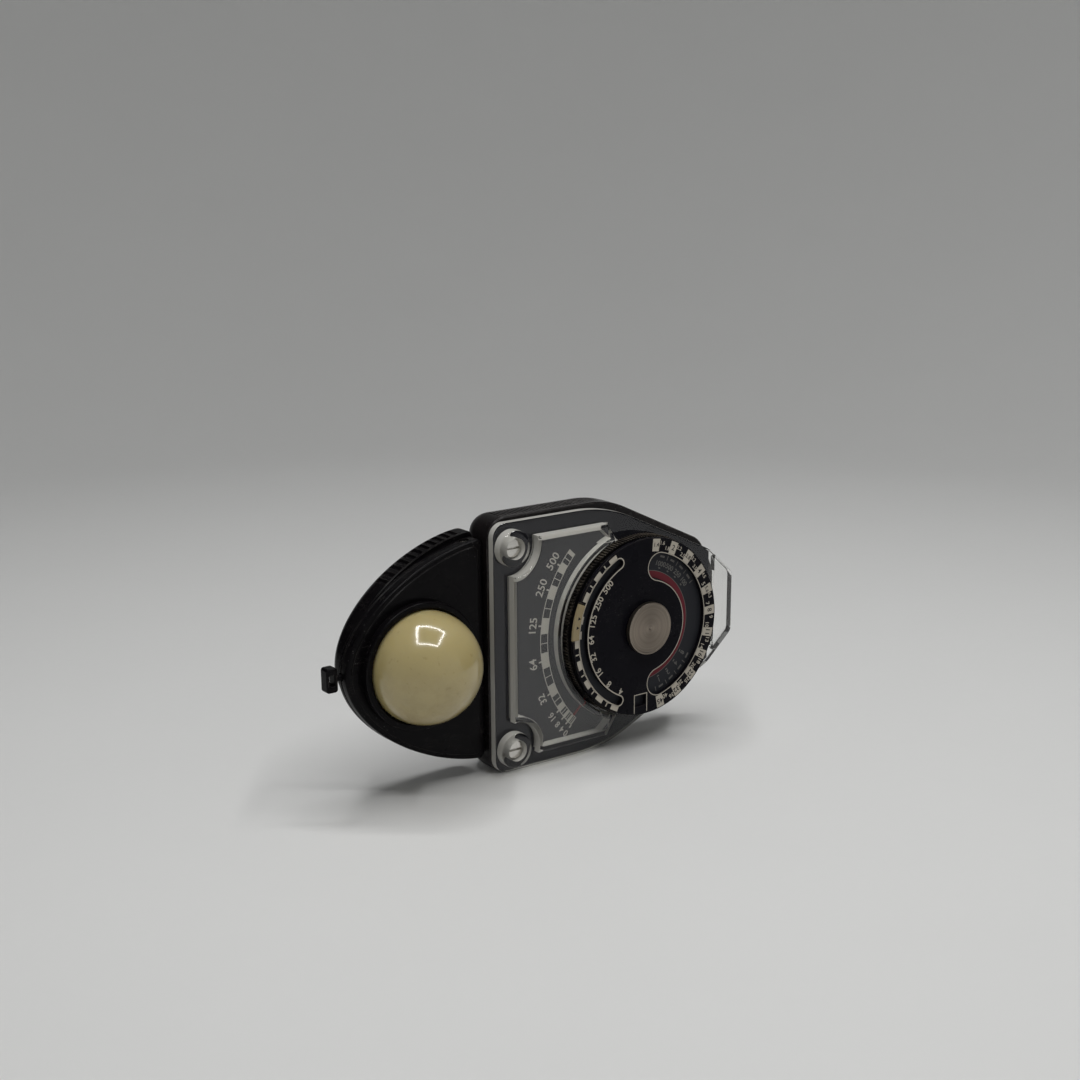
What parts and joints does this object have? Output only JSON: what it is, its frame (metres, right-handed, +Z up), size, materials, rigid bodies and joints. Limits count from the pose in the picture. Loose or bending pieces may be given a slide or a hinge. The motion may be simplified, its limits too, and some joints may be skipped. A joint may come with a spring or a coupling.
{
  "type": "incident light meter",
  "caption": "Handheld light meter: domed receptor on a swivelling head, clear window over a needle scale, and a round exposure calculator that turns on a post.",
  "frame": {"origin": "centre of the bounding box at its lowest level, under the long edge that the meter stands on", "axes": "+X from the head's cord lug towards the clear end of the body, -Y out of the dial and the dome, +Z up across the body"},
  "size_m": [0.1174, 0.0276, 0.0635],
  "materials": {
    "black_plastic": "polished black moulding",
    "clear_acrylic": "clear polished acrylic",
    "opal_plastic": "yellowed opal diffuser",
    "cream_plastic": "cream plastic with black print",
    "black_enamel": "satin black with white print",
    "charcoal_enamel": "charcoal enamel with grey print",
    "turned_metal": "fine turning lines",
    "plated_steel": "bright plated",
    "brass": "plain stamped",
    "magnet_steel": "ground",
    "copper": "enamelled copper",
    "cell_grey": "metallic grey coating",
    "needle_red": "red enamel",
    "brown_fibre": "pressed fibre"
  },
  "bodies": {
    "body": {"body_case": "black_plastic", "clear_cover": "clear_acrylic", "cover_screw_upper": "plated_steel", "cover_screw_lower": "plated_steel", "rear_screw": "plated_steel", "scale_plate": "charcoal_enamel", "movement_plate": "brass", "magnet": "magnet_steel", "pole_core": "plated_steel", "bridge": "brass", "pivot_screw_front": "plated_steel", "pivot_screw_rear": "plated_steel", "hairspring": "copper", "terminal_block": "brown_fibre", "dial_post": "plated_steel", "dial_cap": "turned_metal", "friction_washer": "brown_fibre", "swivel_washer": "brass"},
    "head": {"head_front": "black_plastic", "head_rear": "black_plastic", "head_screw_upper": "plated_steel", "head_screw_lower": "plated_steel", "side_screw_upper": "plated_steel", "side_screw_lower": "plated_steel", "cord_lug": "black_plastic", "light_cell": "cell_grey", "contact_ring": "brass", "cell_spring": "brass", "swivel_spindle": "plated_steel", "swivel_nut": "plated_steel", "cell_lead_upper": "copper", "cell_lead_lower": "copper"},
    "receptor": {"bezel_ring": "black_plastic", "dome": "opal_plastic"},
    "film_dial": {"base_disc": "black_plastic", "speed_disc": "cream_plastic"},
    "top_dial": {"top_disc": "black_enamel", "index_tab": "cream_plastic"},
    "pointer": {"needle": "needle_red", "coil_frame": "copper"}
  },
  "joints": [
    {"name": "head_swivel", "type": "hinge", "parent": "body", "child": "head", "pos_m": [-0.0169, 0.0072, 0.03175], "axis": [1, 0, 0], "range_deg": [-90, 180]},
    {"name": "receptor_turn", "type": "hinge", "parent": "head", "child": "receptor", "pos_m": [-0.0353, 0.0012, 0.03175], "axis": [0, 1, 0], "range_deg": [0, 30]},
    {"name": "film_dial_turn", "type": "hinge", "parent": "body", "child": "film_dial", "pos_m": [0.0257, 0.0012, 0.03175], "axis": [0, 1, 0], "continuous": true},
    {"name": "top_dial_turn", "type": "hinge", "parent": "film_dial", "child": "top_dial", "pos_m": [0.0257, 0.0012, 0.03175], "axis": [0, 1, 0], "continuous": true},
    {"name": "needle_swing", "type": "hinge", "parent": "body", "child": "pointer", "pos_m": [0.0302, 0.0012, 0.03175], "axis": [0, 1, 0], "range_deg": [0, 85], "stiffness_Nm_per_rad": 0.00002}
  ]
}
